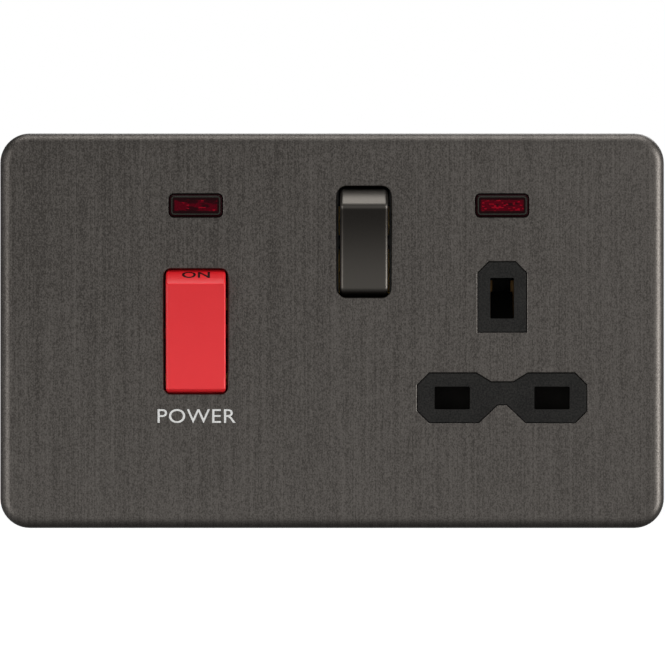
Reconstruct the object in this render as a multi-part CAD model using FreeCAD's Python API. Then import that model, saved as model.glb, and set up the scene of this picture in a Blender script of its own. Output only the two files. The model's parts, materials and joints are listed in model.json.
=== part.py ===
import FreeCAD, Part

import math
import os

from FreeCAD import Vector

# Cooker control unit for a two-gang wall box: a double-pole cooker switch and a switched
# three-pin outlet, each with a neon, behind one clip-on metal plate.
# Millimetres. X runs to the right and Z up as the unit hangs on the wall, and Y into the wall.
# The origin is the middle of the unit on the wall plane.

# Front plate, pressed from one sheet
plate_height = 88.0
plate_side_margin = 13.7
plate_corner_radius = 6.6
plate_projection = 5.5
plate_edge_radius = 2.8
plate_wall = 1.2
plate_wall_gap = 0.3
window_edge_radius = 0.3
clip_length = 6.0
clip_height = 0.9
clip_reach = 0.5
clip_spread = 38.0

# Liner and moulded frame behind the plate
liner_thickness = 0.8
liner_clearance = 0.15
frame_clearance = 0.2
frame_web = 2.0
frame_rim = 1.8
root_depth = 0.2

# Where things stand on the plate
cooker_x = -30.35
cooker_z = -0.15
socket_x = 37.9
earth_z = 7.25
outlet_x = 7.13
outlet_z = 19.8
neon_z = 27.9

# Rocker of the cooker switch
cooker_window_width = 14.2
cooker_window_height = 27.9
cooker_window_radius = 1.5
cooker_rocker_width = 13.3
cooker_crest_span = 23.6
cooker_crest_radius = 0.4
cooker_side_radius = 0.5
cooker_dish = 0.5
cooker_throw = 15.0
cooker_pole_pitch = 7.2
cooker_arm_width = 4.6
cooker_arm_reach = 9.6

# Rocker of the outlet switch
outlet_window_width = 12.05
outlet_window_height = 24.8
outlet_window_radius = 2.1
outlet_rocker_width = 10.7
outlet_crest_span = 18.8
outlet_crest_radius = 1.6
outlet_side_radius = 0.9
outlet_dish = 0.8
outlet_throw = 18.0
outlet_pole_pitch = 5.4
outlet_arm_width = 3.4
outlet_arm_reach = 8.2

# What both rockers share
pivot_depth = 0.8
rocker_end_gap = 0.25
rocker_wall = 1.4
rocker_skirt = 2.0
trunnion_radius = 1.5
trunnion_length = 1.4
bearing_clearance = 0.06
well_side_gap = 0.35
well_end_gap = 0.35
well_wall = 1.3
well_skirt = 4.4
guide_radius = 2.5
guide_length = 4.5
plunger_radius = 1.5
plunger_clearance = 0.08
plunger_length = 8.5
plunger_tip_radius = 1.0
plunger_neck = 1.5
plunger_reach = 9.5
plunger_spring_radius = 1.1
plunger_spring_turns = 5

# Rocking contact arms
arm_tilt_ratio = 1.2
arm_thickness = 1.0
valley_gap = 0.35
valley_angle = 22.5
valley_half_width = 3.0
saddle_angle = 8.0
saddle_half_width = 1.8
saddle_clearance = 0.05
rivet_radius = 1.4
rivet_height = 0.8
contact_gap = 0.1

# Pads and slots of the three-pin outlet
pin_pitch = 22.23
earth_slot_width = 5.3
earth_slot_height = 9.1
line_slot_width = 7.9
line_slot_height = 5.1
slot_corner_radius = 0.3
pad_recess = 0.1
pad_clearance = 0.15
earth_pad_width = 10.7
earth_pad_height = 15.5
earth_pad_drop = 7.5
earth_pad_chamfer = 2.4
twin_pad_half_width = 18.8
twin_pad_height = 10.9
twin_pad_chamfer = 2.6
twin_pad_upper_notch = 2.0
twin_pad_upper_mouth = 5.75
twin_pad_upper_waist = 2.5
twin_pad_lower_notch = 4.0
twin_pad_lower_mouth = 5.3
twin_pad_lower_waist = 1.1
insert_margin = 1.6
insert_flange = 1.0
insert_flange_thickness = 0.7
insert_clearance = 0.1

# Shutter behind the slots, pushed down by the earth pin
shutter_thickness = 2.6
shutter_overlap = 0.6
shutter_travel = 6.2
shutter_clearance = 0.2
stem_width = 6.8
stem_gap = 1.0
ramp_width = 4.8
ramp_rise = 6.4
ramp_start = 0.4
ramp_foot = 6.0
ramp_root = 4.0
ramp_heel = 2.5
ramp_blunt = 0.5
guide_lip = 0.8
guide_wall = 1.6
guide_end_gap = 1.0
spring_wire = 0.4
coil_steps = 10
wire_sides = 6
shutter_spring_radius = 1.3
shutter_spring_pressed = 2.8
shutter_spring_turns = 5
spring_shelf = 1.1

# Neon windows
neon_width = 12.0
neon_height = 5.2
neon_window_radius = 1.1
lens_clearance = 0.12
lens_proud = 0.3
lens_bevel = 0.45
lens_wall = 0.6
lens_flange = 1.2
lens_flange_thickness = 0.9
lamp_radius = 1.6
lamp_length = 7.6
lamp_gap = 0.15
lead_radius = 0.3
lead_sides = 8
lead_turn_gap = 0.9
lead_drop = 4.0
lead_overhang = 1.0
resistor_radius = 1.1
resistor_length = 6.0

# Brass strips and terminals
strip_thickness = 1.2
strip_gap = 1.0
strip_width = 2.8
live_row_drop = 5.6
bar_crossing_rise = 6.16
load_turn_rise = 4.0
terminal_width = 9.0
terminal_height = 12.0
terminal_depth = 10.0
terminal_bore_radius = 3.0
terminal_bore_depth = 4.4
terminal_offset = 13.7
terminal_rise = 12.15
terminal_screw_radius = 2.0
terminal_screw_pitch = 5.6
terminal_screw_length = 3.2
terminal_screw_lift = 0.2
earth_terminal_x = 25.0
earth_terminal_base = 13.0
earth_bore_pitch = 9.0
earth_bore_radius = 2.6
blade_thickness = 0.8
line_pin_height = 4.0
line_blade_width = 5.2
earth_pin_width = 4.0
earth_pin_height = 8.0
blade_slack = 0.05
blade_lead_in = 1.5
blade_flare = 1.0
line_contact_gap = 1.2
earth_contact_gap = 1.0
earth_floor_setback = 3.0

# Rear housing
shutter_end_gap = 0.335
bay_inset = 1.65
cable_room = 3.4
housing_end_gap = 0.15
housing_edge = 0.8
housing_wall = 1.6
housing_corner = 3.0
housing_floor = 1.8
bay_wall = 1.5
bay_clearance = 0.3
bay_overhang = 2.7
mouth_radius = 3.8
driver_hole_radius = 2.4

# Screws into the wall box and into the housing
box_screw_gap = 4.8
box_screw_radius = 1.75
box_screw_neck_radius = 1.5
box_screw_hole_radius = 1.95
box_screw_length = 32.0
box_screw_head_radius = 3.3
box_screw_head_height = 1.7
box_screw_recess = 0.2
box_screw_ease = 0.75
box_screw_relief = 0.1
box_boss_wall = 1.2
case_screw_radius = 1.25
case_screw_head_radius = 2.1
case_screw_head_height = 1.4
case_screw_grip = 2.5
case_screw_length = 6.0
case_screw_tip_gap = 0.2
case_pillar_radius = 3.4
case_pillar_height = 3.0
case_pillar_clearance = 0.1
case_pillar_gap = 0.95
case_left_inset = 4.5
case_right_inset = 3.5
case_end_inset = 5.5
case_corner_inset = 4.5
case_earth_drop = 5.25

# Depths that follow from the sizes above
plate_front = -plate_projection
plate_back = plate_front + plate_wall
frame_front = plate_back + liner_thickness
frame_back = frame_front + frame_web
well_back = pivot_depth + well_skirt
lens_front = plate_front - lens_proud
valley_slope = math.tan(math.radians(valley_angle))
valley_rise = valley_half_width * valley_slope
valley_depth = pivot_depth + plunger_reach + valley_gap
saddle_depth = valley_depth + arm_thickness / math.cos(math.radians(valley_angle))
leg_back = valley_depth - valley_rise + arm_thickness


shutter_spring_length = shutter_travel + shutter_spring_pressed


def rivet_tip_depth(reach, throw):
    """Depth of the back of an arm's contact rivet when the arm is fully tipped."""
    tilt = math.radians(arm_tilt_ratio * throw / 2)
    height = (leg_back + rivet_height - saddle_depth) * math.cos(tilt)
    return saddle_depth + height + reach * math.sin(tilt)


def rivet_z(z, reach, throw):
    """Height of a strip's rivet, which meets the arm's rivet when the arm is fully tipped."""
    tilt = math.radians(arm_tilt_ratio * throw / 2)
    rise = leg_back + rivet_height - saddle_depth
    return z + (reach - rivet_radius) * math.cos(tilt) - rise * math.sin(tilt)


strip_front = contact_gap + rivet_height + max(
    rivet_tip_depth(cooker_arm_reach, cooker_throw),
    rivet_tip_depth(outlet_arm_reach, outlet_throw),
)
terminal_front = strip_front + strip_thickness
bar_front = terminal_front + strip_gap
floor_front = bar_front + strip_thickness
floor_back = floor_front + housing_floor
bore_depth = terminal_front + terminal_bore_depth
terminal_back = terminal_front + terminal_depth
bay_back = terminal_back + bay_overhang

# Places that follow from the sizes above
line_z = earth_z - pin_pitch
neutral_x = socket_x - pin_pitch / 2
live_x = socket_x + pin_pitch / 2
supply_z = cooker_z - terminal_rise
load_z = cooker_z + terminal_rise
live_terminal_x = cooker_x - terminal_offset
neutral_terminal_x = cooker_x + terminal_offset
cooker_rivet_z = rivet_z(cooker_z, cooker_arm_reach, cooker_throw)
outlet_rivet_z = rivet_z(outlet_z, outlet_arm_reach, outlet_throw)
shutter_bottom = line_z - line_slot_height / 2 - shutter_overlap
shutter_reach = pin_pitch / 2 + line_slot_width / 2 + shutter_overlap
shelf_top = shutter_bottom - shutter_spring_length

# The housing reaches past all that it holds, the wall-box screws clear the housing, and the
# plate covers the screws
bay_side = bay_clearance + bay_wall
housing_left = live_terminal_x - terminal_width / 2 - bay_side - bay_inset
housing_right = socket_x + shutter_reach + shutter_end_gap + housing_wall
housing_half_height = housing_wall + max(
    earth_terminal_base + terminal_height + cable_room,
    load_z + terminal_height + cable_room,
    terminal_height - supply_z + cable_room,
    spring_shelf - shelf_top + housing_end_gap,
    cooker_rivet_z + strip_width / 2 + housing_end_gap,
    outlet_rivet_z + strip_width / 2 + housing_end_gap,
)
case_middle_x = (neutral_terminal_x + terminal_width / 2 + bay_side
                 + case_pillar_gap + case_pillar_radius)
case_screw_places = [
    (housing_left + case_left_inset, cooker_z),
    (case_middle_x, housing_half_height - case_end_inset),
    (case_middle_x, case_end_inset - housing_half_height),
    (housing_right - case_right_inset, housing_half_height - case_corner_inset),
    (housing_right - case_right_inset, earth_z - case_earth_drop),
]
box_screw_pitch = 2 * (max(housing_right, -housing_left) + box_screw_gap)
plate_width = box_screw_pitch + 2 * plate_side_margin


def swing_radius(window_height):
    """Radius of a rocker's round ends, which clear the back edge of the plate's window."""
    half = window_height / 2 - rocker_end_gap
    return math.hypot(half, pivot_depth - plate_back)


cooker_swing = swing_radius(cooker_window_height)
outlet_swing = swing_radius(outlet_window_height)


# Basic forms
def block(x0, x1, y0, y1, z0, z1):
    """Box between two corners."""
    return Part.makeBox(x1 - x0, y1 - y0, z1 - z0, Vector(x0, y0, z0))


def rod(radius, start, end):
    """Round bar from one point to another."""
    axis = Vector(*end) - Vector(*start)
    return Part.makeCylinder(radius, axis.Length, Vector(*start), axis)


def outline_face(points, depth):
    """Flat face in the plane of the wall from its corners, given as (x, z)."""
    corners = [Vector(x, depth, z) for x, z in points]
    return Part.Face(Part.makePolygon(corners + corners[:1]))


def upright(points, front, back, clearance=0.0):
    """Prism that runs into the wall, from corners (x, z), grown all round by a clearance."""
    face = outline_face(points, front)
    if clearance:
        face = face.makeOffset2D(clearance, join=2)
    return face.extrude(Vector(0, back - front, 0))


def sideways(points, x, width):
    """Prism that runs along X and is centred on x, from corners (y, z)."""
    corners = [Vector(x - width / 2, y, z) for y, z in points]
    return Part.Face(Part.makePolygon(corners + corners[:1])).extrude(Vector(width, 0, 0))


def rounded_block(width, height, radius, front, back, x=0.0, z=0.0):
    """Rectangle with round corners, centred on (x, z), from one depth to another."""
    body = block(x - width / 2, x + width / 2, front, back, z - height / 2, z + height / 2)
    upright_edges = [edge for edge in body.Edges if edge.Length > 0 and runs_along_y(edge)]
    return body.makeFillet(radius, upright_edges)


def runs_along_y(edge):
    """True for a straight edge that points into the wall."""
    ends = [vertex.Point for vertex in edge.Vertexes]
    return len(ends) == 2 and abs(abs((ends[1] - ends[0]).y) - edge.Length) < 1e-6


def edges_within(shape, x_range, y_range, z_range):
    """Edges that lie wholly in a box."""
    low = (x_range[0], y_range[0], z_range[0])
    high = (x_range[1], y_range[1], z_range[1])
    found = []
    for edge in shape.Edges:
        limits = edge.BoundBox
        inside_low = limits.XMin >= low[0] and limits.YMin >= low[1] and limits.ZMin >= low[2]
        inside_high = limits.XMax <= high[0] and limits.YMax <= high[1] and limits.ZMax <= high[2]
        if inside_low and inside_high:
            found.append(edge)
    return found


def ribbon(points, thickness):
    """Corners of a sheet bent along a line of points, with its thickness on the left side."""
    count = len(points)
    far_side = []
    for i, point in enumerate(points):
        before = points[max(i - 1, 0)]
        after = points[min(i + 1, count - 1)]
        first = heading(before, point) if i > 0 else heading(point, after)
        second = heading(point, after) if i < count - 1 else first
        normal = (-(first[1] + second[1]), first[0] + second[0])
        scale = thickness / (normal[0] * -first[1] + normal[1] * first[0])
        far_side.append((point[0] + normal[0] * scale, point[1] + normal[1] * scale))
    return points + far_side[::-1]


def heading(start, end):
    """Unit direction from one flat point to another."""
    length = math.hypot(end[0] - start[0], end[1] - start[1])
    return ((end[0] - start[0]) / length, (end[1] - start[1]) / length)


def strip(points, front):
    """Flat brass strip along a line of (x, z) points, with square ends and corners."""
    half = strip_width / 2
    runs = []
    for (x0, z0), (x1, z1) in zip(points, points[1:]):
        low_x, high_x = min(x0, x1) - half, max(x0, x1) + half
        low_z, high_z = min(z0, z1) - half, max(z0, z1) + half
        runs.append(block(low_x, high_x, front, front + strip_thickness, low_z, high_z))
    return fused(runs)


def fused(shapes):
    """One clean solid from several that meet."""
    body = shapes[0]
    if len(shapes) > 1:
        body = body.fuse(shapes[1:])
    return body.removeSplitter()


def coil(radius, turns, start, end):
    """Helical spring between two points: a loft through six-sided sections of the wire."""
    axis = Vector(*end) - Vector(*start)
    rise = axis.Length - spring_wire
    steps = turns * coil_steps
    sections = []
    for i in range(steps + 1):
        angle = 2 * math.pi * i / coil_steps
        outward = Vector(math.cos(angle), math.sin(angle), 0)
        middle = outward * radius + Vector(0, 0, spring_wire / 2 + rise * i / steps)
        corners = []
        for k in range(wire_sides):
            turn = 2 * math.pi * k / wire_sides
            upward = Vector(0, 0, math.sin(turn))
            corners.append(middle + (outward * math.cos(turn) + upward) * (spring_wire / 2))
        sections.append(Part.makePolygon(corners + corners[:1]))
    spring = Part.makeLoft(sections, True, True)
    turn = FreeCAD.Rotation(Vector(0, 0, 1), axis)
    spring.Placement = FreeCAD.Placement(Vector(*start), turn)
    return spring


def wire_run(points):
    """Thin wire along straight runs: a loft through its sections, mitred at each bend."""
    path = [Vector(*point) for point in points]
    along = (path[1] - path[0]).normalize()
    across = along.cross(Vector(0, 1, 1)).normalize()
    upward = along.cross(across)
    corners = []
    for k in range(lead_sides):
        turn = 2 * math.pi * k / lead_sides
        corners.append(path[0] + (across * math.cos(turn) + upward * math.sin(turn)) * lead_radius)
    sections = [Part.makePolygon(corners + corners[:1])]
    for i, point in enumerate(path[1:], 1):
        along = (point - path[i - 1]).normalize()
        onward = (path[i + 1] - point).normalize() if i + 1 < len(path) else along
        mitre = along + onward
        corners = [c + along * ((point - c).dot(mitre) / along.dot(mitre)) for c in corners]
        sections.append(Part.makePolygon(corners + corners[:1]))
    return Part.makeLoft(sections, True, True)


def tipped(shape, x, y, z, angle):
    """The shape turned about the X axis through a point; a positive angle brings its top out."""
    turned = shape.copy()
    turned.rotate(Vector(x, y, z), Vector(1, 0, 0), angle)
    return turned


# Outlines that several pieces share
def earth_pad_outline():
    """Pad round the earth slot, with its two top corners cut off."""
    half = earth_pad_width / 2
    low = earth_z - earth_pad_drop
    high = low + earth_pad_height
    cut = earth_pad_chamfer
    left, right = socket_x - half, socket_x + half
    return [(left, low), (right, low), (right, high - cut), (right - cut, high),
            (left + cut, high), (left, high - cut)]


def twin_pad_outline():
    """Pad round the two line slots, which narrows to a waist between them."""
    half = twin_pad_half_width
    low = line_z - twin_pad_height / 2
    high = line_z + twin_pad_height / 2
    cut = twin_pad_chamfer
    upper = high - twin_pad_upper_notch
    lower = low + twin_pad_lower_notch
    right_side = [(twin_pad_lower_waist, lower), (twin_pad_lower_mouth, low), (half - cut, low),
                  (half, low + cut), (half, high - cut), (half - cut, high),
                  (twin_pad_upper_mouth, high), (twin_pad_upper_waist, upper)]
    left_side = [(-x, z) for x, z in right_side[::-1]]
    return [(socket_x + x, z) for x, z in right_side + left_side]


def insert_outline():
    """Web of the socket insert: a stem behind the earth pad, on a bar behind the twin pad."""
    stem = earth_pad_width / 2 + insert_margin
    bar = twin_pad_half_width + insert_margin
    low = line_z - twin_pad_height / 2 - insert_margin
    shoulder = line_z + twin_pad_height / 2 + insert_margin
    high = earth_z - earth_pad_drop + earth_pad_height + insert_margin
    right_side = [(bar, low), (bar, shoulder), (stem, shoulder), (stem, high)]
    left_side = [(-x, z) for x, z in right_side[::-1]]
    return [(socket_x + x, z) for x, z in right_side + left_side]


def pin_slots(front, back):
    """The three slots that a plug's pins go through."""
    slots = [rounded_block(earth_slot_width, earth_slot_height, slot_corner_radius,
                           front, back, socket_x, earth_z)]
    for x in (neutral_x, live_x):
        slots.append(rounded_block(line_slot_width, line_slot_height, slot_corner_radius,
                                   front, back, x, line_z))
    return slots


def well_cavity(x, z, rocker_width, swing, front, back):
    """Space that a rocker swings in behind the plate."""
    width = rocker_width + 2 * well_side_gap
    height = 2 * (swing + well_end_gap)
    return block(x - width / 2, x + width / 2, front, back, z - height / 2, z + height / 2)


def wells():
    """The two rocker wells: centre, the rocker's width and its swing radius."""
    return [(cooker_x, cooker_z, cooker_rocker_width, cooker_swing),
            (outlet_x, outlet_z, outlet_rocker_width, outlet_swing)]


def box_screw_xs():
    """Where the two wall-box screws stand."""
    return (-box_screw_pitch / 2, box_screw_pitch / 2)


# Plate, liner and frame
def front_plate():
    """Shallow metal tray with rolled edges, windows and four inward clip beads."""
    back = -plate_wall_gap
    shell = rounded_block(plate_width, plate_height, plate_corner_radius, plate_front, back)
    rim = edges_within(shell, (-plate_width, plate_width), (plate_front - 0.01, plate_front + 0.01),
                       (-plate_height, plate_height))
    shell = shell.makeFillet(plate_edge_radius, rim)
    inner_radius = plate_corner_radius - plate_wall
    hollow = rounded_block(plate_width - 2 * plate_wall, plate_height - 2 * plate_wall,
                           inner_radius, plate_back, back)
    rim = edges_within(hollow, (-plate_width, plate_width), (plate_back - 0.01, plate_back + 0.01),
                       (-plate_height, plate_height))
    hollow = hollow.makeFillet(plate_edge_radius - plate_wall, rim)
    shell = shell.cut(hollow)
    windows = [
        rounded_block(cooker_window_width, cooker_window_height, cooker_window_radius,
                      plate_front, plate_back, cooker_x, cooker_z),
        rounded_block(outlet_window_width, outlet_window_height, outlet_window_radius,
                      plate_front, plate_back, outlet_x, outlet_z),
    ]
    for x in (cooker_x, socket_x):
        windows.append(rounded_block(neon_width, neon_height, neon_window_radius,
                                     plate_front, plate_back, x, neon_z))
    windows.append(upright(earth_pad_outline(), plate_front, plate_back, pad_clearance))
    windows.append(upright(twin_pad_outline(), plate_front, plate_back, pad_clearance))
    shell = shell.cut(windows)
    lips = []
    for window in windows:
        limits = window.BoundBox
        lips += edges_within(shell, (limits.XMin - 0.01, limits.XMax + 0.01),
                             (plate_front - 0.01, plate_front + 0.01),
                             (limits.ZMin - 0.01, limits.ZMax + 0.01))
    shell = shell.makeFillet(window_edge_radius, lips)
    return fused([shell] + [clip_bead(x, side) for x in (-clip_spread, clip_spread) for side in (-1, 1)])


def clip_bead(x, side):
    """Inward wedge on the plate's top or bottom wall that snaps into the frame's rim."""
    wall = plate_height / 2 - plate_wall
    back = -plate_wall_gap - clip_height / 2
    front = back - clip_height
    root = wall + plate_wall / 2
    points = [(front, side * root), (front, side * (wall - clip_reach)), (back, side * wall),
              (back, side * root)]
    return sideways(points, x, clip_length)


def frame_half_size():
    """Half width and half height of the frame, which clears the plate's rounded inner edge."""
    inner_edge = plate_edge_radius - plate_wall
    drop = max(inner_edge - liner_thickness, 0.0)
    inset = inner_edge - math.sqrt(inner_edge ** 2 - drop ** 2) + frame_clearance
    return plate_width / 2 - plate_wall - inset, plate_height / 2 - plate_wall - inset


def plate_liner():
    """Thin black sheet clamped between the plate and the frame, which closes the gaps."""
    margin = plate_edge_radius + liner_clearance
    sheet = rounded_block(plate_width - 2 * margin, plate_height - 2 * margin,
                          plate_corner_radius - plate_edge_radius, plate_back, frame_front)
    cuts = [well_cavity(*well, plate_back, frame_front) for well in wells()]
    cuts.append(upright(insert_outline(), plate_back, frame_front, insert_flange + liner_clearance))
    for x in (cooker_x, socket_x):
        cuts.append(rounded_block(neon_width, neon_height, neon_window_radius,
                                  plate_back, frame_front, x, neon_z))
    for x in box_screw_xs():
        cuts.append(rod(box_screw_head_radius, (x, plate_back, 0), (x, frame_front, 0)))
    return sheet.cut(cuts).removeSplitter()


def mounting_frame():
    """Black moulding that carries everything: web, rim, rocker wells, bosses and pillars."""
    half_width, half_height = frame_half_size()
    radius = plate_corner_radius - plate_wall
    slab = rounded_block(2 * half_width, 2 * half_height, radius, frame_front, 0)
    hollow = rounded_block(2 * (half_width - frame_rim), 2 * (half_height - frame_rim),
                           radius - frame_rim, frame_back, 0)
    added = [slab.cut(hollow)]
    for x, z, width, swing in wells():
        side = width / 2 + well_side_gap + well_wall
        end = swing + well_end_gap + well_wall
        added.append(block(x - side, x + side, frame_back, well_back, z - end, z + end))
    boss = box_screw_head_radius + box_screw_recess + box_boss_wall
    for x in box_screw_xs():
        added.append(rod(boss, (x, frame_back, 0), (x, 0, 0)))
    for x, z in case_screw_places:
        added.append(rod(case_pillar_radius, (x, frame_back, z), (x, frame_back + case_pillar_height, z)))
    depth = shutter_spring_depth() + shutter_spring_radius + spring_wire
    added.append(block(socket_x - stem_width / 2, socket_x + stem_width / 2, frame_back, depth,
                       shelf_top - spring_shelf, shelf_top))
    body = fused(added)
    cuts = [upright(insert_outline(), frame_front, frame_back, insert_clearance)]
    for x, z, width, swing in wells():
        cuts.append(well_cavity(x, z, width, swing, frame_front, well_back))
        reach = width / 2 + well_side_gap + well_wall
        cuts.append(rod(trunnion_radius + bearing_clearance,
                        (x - reach, pivot_depth, z), (x + reach, pivot_depth, z)))
    for x in (cooker_x, socket_x):
        cuts += lens_seat(x)
    for x in box_screw_xs():
        seat = frame_front + box_screw_recess + box_screw_head_height
        cuts.append(rod(box_screw_head_radius + box_screw_recess, (x, frame_front, 0), (x, seat, 0)))
        cuts.append(rod(box_screw_hole_radius, (x, seat, 0), (x, 0, 0)))
    for x, z in case_screw_places:
        bottom = frame_back + case_pillar_height
        depth = case_screw_length - case_screw_grip + case_screw_tip_gap
        cuts.append(rod(case_screw_radius + bearing_clearance, (x, bottom - depth, z), (x, bottom, z)))
    back = -plate_wall_gap - clip_height / 2
    for x in (-clip_spread, clip_spread):
        for side in (-1, 1):
            edge = side * half_height
            pocket = side * (plate_height / 2 - plate_wall - clip_reach - frame_clearance)
            low, high = min(edge, pocket), max(edge, pocket)
            cuts.append(block(x - clip_length / 2 - frame_clearance, x + clip_length / 2 + frame_clearance,
                              back - clip_height - frame_clearance, 0, low, high))
    return body.cut(cuts).removeSplitter()


def lens_seat(x):
    """Stepped hole in the frame's web that holds a lens by its flange."""
    slack = lens_clearance
    flange_width = neon_width + 2 * lens_flange
    flange_height = neon_height + 2 * lens_flange
    flange = rounded_block(flange_width, flange_height, neon_window_radius,
                           frame_front, frame_front + lens_flange_thickness + slack, x, neon_z)
    throat = rounded_block(neon_width + slack, neon_height + slack, neon_window_radius,
                           frame_front, frame_back, x, neon_z)
    return [flange, throat]


# Socket insert
def socket_insert():
    """Black moulding with the pads, the pin slots and the shutter's guides.

    It drops into the frame from the front, and the plate holds it down by its flange.
    """
    pad_front = plate_front + pad_recess
    flange_front = frame_front - insert_flange_thickness
    body = fused([
        upright(earth_pad_outline(), pad_front, frame_back),
        upright(twin_pad_outline(), pad_front, frame_back),
        upright(insert_outline(), flange_front, frame_front, insert_flange),
        upright(insert_outline(), frame_front, frame_back),
    ] + shutter_guides())
    return body.cut(pin_slots(pad_front, frame_back)).removeSplitter()


def shutter_guides():
    """Two hooked rails beside the shutter's stem."""
    back = frame_back + shutter_clearance + shutter_thickness + shutter_clearance
    low = line_z + line_slot_height / 2 + shutter_overlap + guide_end_gap
    high = earth_z - earth_slot_height / 2
    parts = []
    for side in (-1, 1):
        inner = socket_x + side * (stem_width / 2 + shutter_clearance)
        outer = inner + side * guide_wall
        lip = inner - side * guide_lip
        parts.append(block(min(inner, outer), max(inner, outer), frame_back, back, low, high))
        parts.append(block(min(lip, outer), max(lip, outer), back, back + guide_wall / 2, low, high))
    return parts


# Shutter and its spring
def shutter_spring_depth():
    """Depth of the spring's axis, just behind the frame's web."""
    return frame_back + shutter_clearance + shutter_spring_radius + spring_wire / 2


def shutter():
    """Black slide: two tabs behind the line slots, a stem, and a ramp for the earth pin."""
    front = frame_back + shutter_clearance
    back = front + shutter_thickness
    high = line_z + line_slot_height / 2 + shutter_overlap
    bar = block(socket_x - shutter_reach, socket_x + shutter_reach, front, back, shutter_bottom, high)
    foot = earth_z - earth_pin_height / 2 - ramp_start
    stem = block(socket_x - stem_width / 2, socket_x + stem_width / 2, front, back,
                 shutter_bottom, foot - stem_gap)
    tip = front + ramp_rise
    points = [(front, foot - ramp_foot), (front, foot), (tip, foot + ramp_rise - ramp_blunt),
              (tip, foot + ramp_heel), (back, foot - ramp_root), (back, foot - ramp_foot)]
    ramp = sideways(points, socket_x, ramp_width)
    return fused([bar, stem, ramp])


def shutter_spring():
    """Return spring between the frame's shelf and the shutter."""
    depth = shutter_spring_depth()
    return coil(shutter_spring_radius, shutter_spring_turns,
                (socket_x, depth, shelf_top), (socket_x, depth, shutter_bottom))


# Rockers and what rides in them
def rocker(x, z, width, swing, crest_span, dish, crest_radius, side_radius, pole_pitch, throw):
    """Hollow rocker with a dished face, round ends, two trunnions and two plunger guides."""
    half = crest_span / 2
    face = math.sqrt(swing ** 2 - half ** 2)
    tail = math.sqrt(swing ** 2 - rocker_skirt ** 2)
    left = x - width / 2

    def place(y, rise):
        return Vector(left, pivot_depth + y, z + rise)

    def end_arc(side):
        return Part.Arc(place(-face, side * half), place(0, side * swing),
                        place(rocker_skirt, side * tail)).toShape()

    dished = Part.Arc(place(-face, -half), place(dish - face, 0), place(-face, half)).toShape()
    base = Part.makeLine(place(rocker_skirt, tail), place(rocker_skirt, -tail))
    outline = Part.Wire(Part.__sortEdges__([dished, end_arc(1), base, end_arc(-1)]))
    body = Part.Face(outline).extrude(Vector(width, 0, 0))
    crests = edges_within(body, (left - 1, left + width + 1),
                          (pivot_depth - face - 0.01, pivot_depth - face + 0.01),
                          (z - half - 0.01, z + half + 0.01))
    crests = [edge for edge in crests if abs(edge.Length - width) < 1e-6]
    body = body.makeFillet(crest_radius, crests)
    sides = []
    for edge in body.Edges:
        flat = edge.BoundBox.XLength < 1e-6
        if flat and edge.BoundBox.YMin < pivot_depth + rocker_skirt - 0.01:
            sides.append(edge)
    body = body.makeFillet(side_radius, sides)
    inner_swing = swing - rocker_wall
    inner_face = face - dish - rocker_wall
    inner_half = math.sqrt(inner_swing ** 2 - inner_face ** 2)
    inner_left = x - width / 2 + rocker_wall
    corners = []
    for y, rise in ((-inner_face, inner_half), (0, inner_swing), (rocker_skirt, inner_swing - root_depth)):
        corners.append(Vector(inner_left, pivot_depth + y, z + rise))
    lower = [Vector(c.x, c.y, 2 * z - c.z) for c in corners]
    edges = [Part.Arc(*corners).toShape(), Part.Arc(*lower).toShape(),
             Part.makeLine(corners[0], lower[0]), Part.makeLine(corners[2], lower[2])]
    cavity = Part.Face(Part.Wire(Part.__sortEdges__(edges))).extrude(Vector(width - 2 * rocker_wall, 0, 0))
    body = body.cut(cavity)
    added = [body]
    reach = width / 2 + trunnion_length
    for side in (-1, 1):
        start = x + side * (width / 2 - rocker_wall / 2)
        added.append(rod(trunnion_radius, (start, pivot_depth, z), (x + side * reach, pivot_depth, z)))
        pole = x + side * pole_pitch / 2
        added.append(rod(guide_radius, (pole, pivot_depth - inner_face - root_depth, z),
                         (pole, pivot_depth + guide_length, z)))
    body = fused(added)
    bores = []
    for side in (-1, 1):
        pole = x + side * pole_pitch / 2
        bores.append(rod(plunger_radius + plunger_clearance, (pole, pivot_depth - inner_face, z),
                         (pole, pivot_depth + guide_length, z)))
    return tipped(body.cut(bores).removeSplitter(), x, pivot_depth, z, throw / 2)


def plunger(x, z, throw):
    """Nylon pin with a round tip that pushes the contact arm over."""
    tip = pivot_depth + plunger_reach - plunger_tip_radius
    shoulder = tip - plunger_neck
    tail = pivot_depth + plunger_reach - plunger_length
    parts = [rod(plunger_radius, (x, tail, z), (x, shoulder, z)),
             rod(plunger_tip_radius, (x, shoulder, z), (x, tip, z)),
             Part.makeSphere(plunger_tip_radius, Vector(x, tip, z))]
    return tipped(fused(parts), x, pivot_depth, z, throw / 2)


def plunger_spring(x, z, swing, crest_span, dish, throw):
    """Spring between the bottom of the rocker's guide and the plunger's tail."""
    face = math.sqrt(swing ** 2 - (crest_span / 2) ** 2)
    start = pivot_depth - (face - dish - rocker_wall)
    end = pivot_depth + plunger_reach - plunger_length
    spring = coil(plunger_spring_radius, plunger_spring_turns, (x, start, z), (x, end, z))
    return tipped(spring, x, pivot_depth, z, throw / 2)


def contact_arm(x, z, width, reach, throw):
    """Copper see-saw bent to a shallow V, with a silver rivet on its upper leg."""
    line = [(valley_depth - valley_rise, reach), (valley_depth - valley_rise, valley_half_width),
            (valley_depth, 0), (valley_depth - valley_rise, -valley_half_width),
            (valley_depth - valley_rise, -reach)]
    corners = [(y, z + rise) for y, rise in ribbon(line, arm_thickness)]
    arm = sideways(corners, x, width)
    seat = reach - rivet_radius
    rivet = rod(rivet_radius, (x, leg_back - root_depth, z + seat), (x, leg_back + rivet_height, z + seat))
    return tipped(fused([arm, rivet]), x, saddle_depth, z, -arm_tilt_ratio * throw / 2)


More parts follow.
